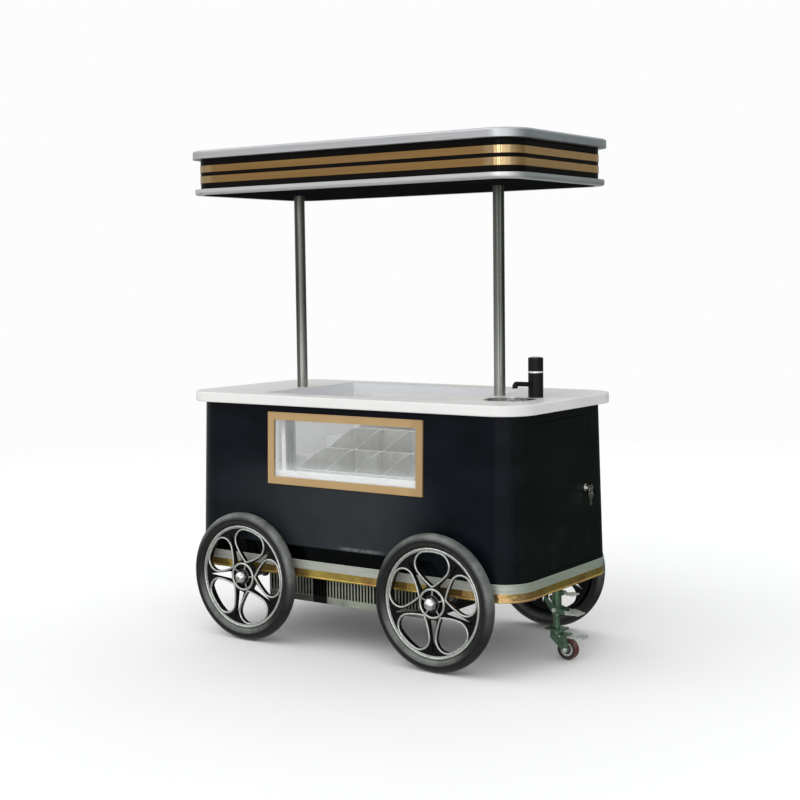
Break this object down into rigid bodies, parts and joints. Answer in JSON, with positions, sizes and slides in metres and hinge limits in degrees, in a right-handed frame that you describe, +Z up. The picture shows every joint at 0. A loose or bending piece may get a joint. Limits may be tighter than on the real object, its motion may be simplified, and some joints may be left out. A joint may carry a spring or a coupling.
{
  "type": "snack cart",
  "caption": "Snack cart with an open display well, front window, wash point, cabinet door, flat canopy on posts, cast road wheels and a foot-operated drop caster.",
  "frame": {"origin": "on the ground under the middle of the counter", "axes": "+X along the cart towards the end with the door and the caster, -Y out of the window side, +Z up"},
  "size_m": [1.652, 0.942, 1.966],
  "materials": {
    "pale_trim": "satin",
    "black_panel": "gloss",
    "black_board": "satin",
    "gold_trim": "satin",
    "gold_frame": "satin",
    "gold_band": "polished",
    "silver_band": "satin",
    "polished_steel": "polished",
    "white_counter": "satin",
    "white_liner": "satin",
    "grey_profile": "satin",
    "clear_bins": "gloss",
    "window_pane": "polished",
    "chassis_paint": "satin",
    "sheet_steel": "satin",
    "vent_grille": "satin",
    "compressor_paint": "satin",
    "fin_aluminium": "satin",
    "tyre": "matte",
    "cast_wheel": "gloss",
    "chrome": "polished",
    "tank_plastic": "satin",
    "pipe": "satin",
    "pump_black": "matte",
    "button_grey": "gloss",
    "key_metal": "satin",
    "zinc_steel": "satin",
    "caster_tread": "satin"
  },
  "bodies": {
    "cart": {"roof_top": "pale_trim", "roof_lower_rim": "pale_trim", "roof_fascia": "black_panel", "roof_soffit": "black_board", "gold_stripes": "gold_trim", "left_post": "polished_steel", "right_post": "polished_steel", "counter_top": "white_counter", "display_liner": "white_liner", "bin_uprights": "grey_profile", "window_frame": "gold_frame", "window_glass": "window_pane", "front_panel": "black_panel", "rear_panel": "black_panel", "left_end_panel": "black_panel", "right_end_panel": "black_panel", "chassis_frame": "chassis_paint", "floor_pan": "sheet_steel", "silver_band": "silver_band", "gold_band": "gold_band", "vent_housing": "sheet_steel", "vent_grilles": "vent_grille", "compressor": "compressor_paint", "condenser": "fin_aluminium", "axles": "sheet_steel", "sink_bowl": "polished_steel", "waste_tank": "tank_plastic", "water_bottle": "tank_plastic", "wash_pipes": "pipe", "pump_body": "pump_black", "pump_ring": "chrome", "caster_sleeve": "zinc_steel"},
    "pump_button": {"pump_button": "button_grey"},
    "front_bins": {"front_bin_row": "clear_bins"},
    "middle_bins": {"middle_bin_row": "clear_bins"},
    "rear_bins": {"rear_bin_row": "clear_bins"},
    "door": {"end_door": "black_panel"},
    "lock": {"door_lock": "chrome", "lock_key": "key_metal"},
    "spare_key": {"spare_key": "key_metal"},
    "caster_leg": {"caster_leg": "zinc_steel", "lift_pedal": "zinc_steel", "pedal_bolt": "zinc_steel"},
    "release_pedal": {"release_pedal": "zinc_steel"},
    "caster_fork": {"caster_fork": "zinc_steel", "caster_axle": "zinc_steel"},
    "caster_wheel": {"caster_wheel": "caster_tread"},
    "brake_pedal": {"brake_pedal": "zinc_steel"},
    "front_left_wheel": {"front_left_tyre": "tyre", "front_left_wheel": "cast_wheel", "front_left_hub_cap": "chrome"},
    "front_right_wheel": {"front_right_tyre": "tyre", "front_right_wheel": "cast_wheel", "front_right_hub_cap": "chrome"},
    "rear_left_wheel": {"rear_left_tyre": "tyre", "rear_left_wheel": "cast_wheel", "rear_left_hub_cap": "chrome"},
    "rear_right_wheel": {"rear_right_tyre": "tyre", "rear_right_wheel": "cast_wheel", "rear_right_hub_cap": "chrome"}
  },
  "joints": [
    {"name": "front_left_roll", "type": "hinge", "parent": "cart", "child": "front_left_wheel", "pos_m": [-0.457, -0.425, 0.258], "axis": [0, 1, 0], "continuous": true},
    {"name": "front_right_roll", "type": "hinge", "parent": "cart", "child": "front_right_wheel", "pos_m": [0.457, -0.425, 0.258], "axis": [0, 1, 0], "continuous": true},
    {"name": "rear_left_roll", "type": "hinge", "parent": "cart", "child": "rear_left_wheel", "pos_m": [-0.457, 0.425, 0.258], "axis": [0, 1, 0], "continuous": true},
    {"name": "rear_right_roll", "type": "hinge", "parent": "cart", "child": "rear_right_wheel", "pos_m": [0.457, 0.425, 0.258], "axis": [0, 1, 0], "continuous": true},
    {"name": "pump_press", "type": "slide", "parent": "cart", "child": "pump_button", "axis": [0, 0, -1], "range_m": [0, 0.002], "stiffness_N_per_m": 600, "springref_m": -0.002},
    {"name": "front_bins_lift", "type": "slide", "parent": "cart", "child": "front_bins", "axis": [0, 0, 1], "range_m": [0, 0.36]},
    {"name": "middle_bins_lift", "type": "slide", "parent": "cart", "child": "middle_bins", "axis": [0, 0, 1], "range_m": [0, 0.36]},
    {"name": "rear_bins_lift", "type": "slide", "parent": "cart", "child": "rear_bins", "axis": [0, 0, 1], "range_m": [0, 0.36]},
    {"name": "door_swing", "type": "hinge", "parent": "cart", "child": "door", "pos_m": [0.76486, -0.192, 0.63432], "axis": [0.0296, 0, -0.9996], "range_deg": [0, 105]},
    {"name": "lock_turn", "type": "hinge", "parent": "door", "child": "lock", "pos_m": [0.77086, 0.157, 0.6345], "axis": [-0.9996, 0, -0.0296], "range_deg": [0, 90]},
    {"name": "spare_key_swing", "type": "hinge", "parent": "lock", "child": "spare_key", "pos_m": [0.79388, 0.157, 0.63408], "axis": [0.9996, 0, 0.0296], "range_deg": [-30, 30]},
    {"name": "leg_lift", "type": "slide", "parent": "cart", "child": "caster_leg", "axis": [0, 0, 1], "range_m": [0, 0.035]},
    {"name": "release_press", "type": "hinge", "parent": "cart", "child": "release_pedal", "pos_m": [0.762, 0, 0.252], "axis": [0, 1, 0], "range_deg": [0, 8], "stiffness_Nm_per_rad": 2, "springref_deg": -5.73},
    {"name": "caster_swivel", "type": "hinge", "parent": "caster_leg", "child": "caster_fork", "pos_m": [0.733, 0, 0.1], "axis": [0, 0, 1], "continuous": true},
    {"name": "caster_roll", "type": "hinge", "parent": "caster_fork", "child": "caster_wheel", "pos_m": [0.781, 0, 0.04], "axis": [0, 1, 0], "continuous": true},
    {"name": "brake_press", "type": "hinge", "parent": "caster_fork", "child": "brake_pedal", "pos_m": [0.757, 0, 0.09], "axis": [0, 1, 0], "range_deg": [0, 8]}
  ]
}
